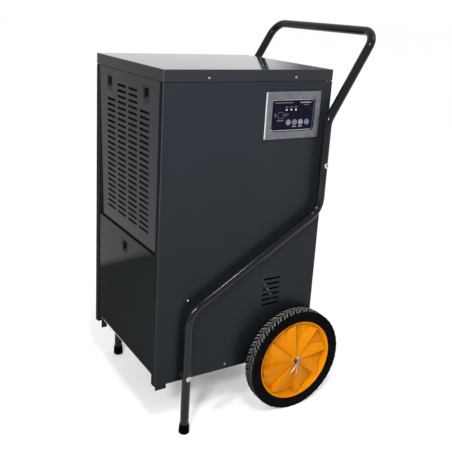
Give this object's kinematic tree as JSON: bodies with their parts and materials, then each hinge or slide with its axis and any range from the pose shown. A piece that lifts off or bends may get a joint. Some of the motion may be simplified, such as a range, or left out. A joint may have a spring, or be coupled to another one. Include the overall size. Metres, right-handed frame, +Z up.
{
  "type": "commercial dehumidifier",
  "caption": "Trolley dehumidifier: folded steel cabinet with slotted intake, latched panels, control panel, water tank, bent-tube push frame and two treaded wheels.",
  "frame": {"origin": "middle of the bounding box on the floor", "axes": "+Z up, -Y towards the slotted intake front, +X the side with the control panel, +Y the push handle and wheels"},
  "size_m": [0.56, 0.634, 1.084],
  "materials": {
    "cabinet_paint": "smooth gloss powder coat, anthracite",
    "frame_paint": "smooth gloss powder coat on tube, anthracite",
    "galvanised": "galvanised sheet, spangled",
    "zinc": "zinc-plated",
    "steel": "bright drawn steel",
    "bezel": "brushed",
    "fascia": "printed overlay, dark",
    "display": "dark clear window",
    "lamp": "translucent lamp lens",
    "button_blue": "satin",
    "button_red": "satin",
    "button_cyan": "satin",
    "button_violet": "satin",
    "black_plastic": "moulded, fine texture",
    "latch_plastic": "moulded, dark grey",
    "dark_rubber": "moulded rubber",
    "tyre_rubber": "treaded rubber, dusty",
    "hub_plastic": "moulded, yellow",
    "copper": "drawn copper",
    "black_steel": "semi-gloss enamel",
    "white_plastic": "moulded",
    "tank_plastic": "translucent moulded",
    "filter_mesh": "frame with fine mesh",
    "board": "circuit board",
    "coil": "finned coil"
  },
  "bodies": {
    "cabinet": {"axle": "steel", "axle_brackets": "black_steel", "axle_sleeves": "black_plastic", "base_pan": "galvanised", "cabinet_screws": "zinc", "cable_gland": "black_plastic", "compressor": "black_steel", "compressor_mounts": "dark_rubber", "condenser": "coil", "control_bezel": "bezel", "control_board": "board", "control_box": "black_plastic", "control_fascia": "fascia", "corner_feet": "cabinet_paint", "discharge_pipe": "copper", "display_window": "display", "drip_tray": "white_plastic", "evaporator": "coil", "fan_motor": "black_steel", "fan_shroud": "galvanised", "frame_bolts": "zinc", "frame_spacers": "black_plastic", "front_cross_rail": "galvanised", "indicator_lamps": "lamp", "left_leg_foot": "dark_rubber", "left_side_panel": "cabinet_paint", "liquid_line": "copper", "mid_deck": "galvanised", "motor_bracket": "galvanised", "push_frame": "frame_paint", "rear_panel": "cabinet_paint", "right_leg_foot": "dark_rubber", "right_side_panel": "cabinet_paint", "run_capacitor": "white_plastic", "split_pins": "zinc", "suction_accumulator": "black_steel", "suction_pipe": "copper", "top_cover": "cabinet_paint", "wheel_washers": "zinc"},
    "fan": {"fan_impeller": "black_plastic", "fan_shaft": "steel"},
    "right_wheel": {"right_wheel_hub": "hub_plastic", "right_tyre": "tyre_rubber"},
    "left_wheel": {"left_wheel_hub": "hub_plastic", "left_tyre": "tyre_rubber"},
    "power_button": {"power_button": "button_blue"},
    "mode_button": {"mode_button": "button_red"},
    "up_button": {"up_button": "button_cyan"},
    "down_button": {"down_button": "button_violet"},
    "grille_panel": {"front_grille_panel": "cabinet_paint", "air_filter": "filter_mesh", "left_latch_cup": "latch_plastic", "right_latch_cup": "latch_plastic"},
    "left_latch_slider": {"left_latch_slider": "latch_plastic"},
    "right_latch_slider": {"right_latch_slider": "latch_plastic"},
    "lower_panel": {"front_lower_panel": "cabinet_paint", "lower_latch_cup": "latch_plastic"},
    "lower_latch_slider": {"lower_latch_slider": "latch_plastic"},
    "water_tank": {"water_tank": "tank_plastic"},
    "tank_float": {"tank_float": "white_plastic"}
  },
  "joints": [
    {"name": "right_wheel_spin", "type": "hinge", "parent": "cabinet", "child": "right_wheel", "pos_m": [0.2485, 0.106, 0.15], "axis": [1, 0, 0], "continuous": true},
    {"name": "left_wheel_spin", "type": "hinge", "parent": "cabinet", "child": "left_wheel", "pos_m": [-0.2485, 0.106, 0.15], "axis": [1, 0, 0], "continuous": true},
    {"name": "fan_spin", "type": "hinge", "parent": "cabinet", "child": "fan", "pos_m": [0, -0.13, 0.72], "axis": [0, 1, 0], "continuous": true},
    {"name": "power_button_press", "type": "slide", "parent": "cabinet", "child": "power_button", "axis": [-1, 0, 0], "range_m": [0, 0.0012], "stiffness_N_per_m": 400},
    {"name": "mode_button_press", "type": "slide", "parent": "cabinet", "child": "mode_button", "axis": [-1, 0, 0], "range_m": [0, 0.0012], "stiffness_N_per_m": 400},
    {"name": "up_button_press", "type": "slide", "parent": "cabinet", "child": "up_button", "axis": [-1, 0, 0], "range_m": [0, 0.0012], "stiffness_N_per_m": 400},
    {"name": "down_button_press", "type": "slide", "parent": "cabinet", "child": "down_button", "axis": [-1, 0, 0], "range_m": [0, 0.0012], "stiffness_N_per_m": 400},
    {"name": "grille_panel_lift", "type": "slide", "parent": "cabinet", "child": "grille_panel", "axis": [0, -1, 0], "range_m": [0, 0.2]},
    {"name": "lower_panel_lift", "type": "slide", "parent": "cabinet", "child": "lower_panel", "axis": [0, -1, 0], "range_m": [0, 0.4]},
    {"name": "left_latch_slide", "type": "slide", "parent": "grille_panel", "child": "left_latch_slider", "axis": [0, 0, -1], "range_m": [0, 0.006], "stiffness_N_per_m": 300, "springref_m": -0.004},
    {"name": "right_latch_slide", "type": "slide", "parent": "grille_panel", "child": "right_latch_slider", "axis": [0, 0, -1], "range_m": [0, 0.006], "stiffness_N_per_m": 300, "springref_m": -0.004},
    {"name": "lower_latch_slide", "type": "slide", "parent": "lower_panel", "child": "lower_latch_slider", "axis": [0, 0, -1], "range_m": [0, 0.006], "stiffness_N_per_m": 300, "springref_m": -0.004},
    {"name": "tank_slide", "type": "slide", "parent": "cabinet", "child": "water_tank", "axis": [0, -1, 0], "range_m": [0, 0.24]},
    {"name": "float_rise", "type": "slide", "parent": "water_tank", "child": "tank_float", "axis": [0, 0, 1], "range_m": [0, 0.02]}
  ],
  "couplings": [
    {"joint": "tank_slide", "follows": "lower_panel_lift", "ratio": 0.6}
  ]
}
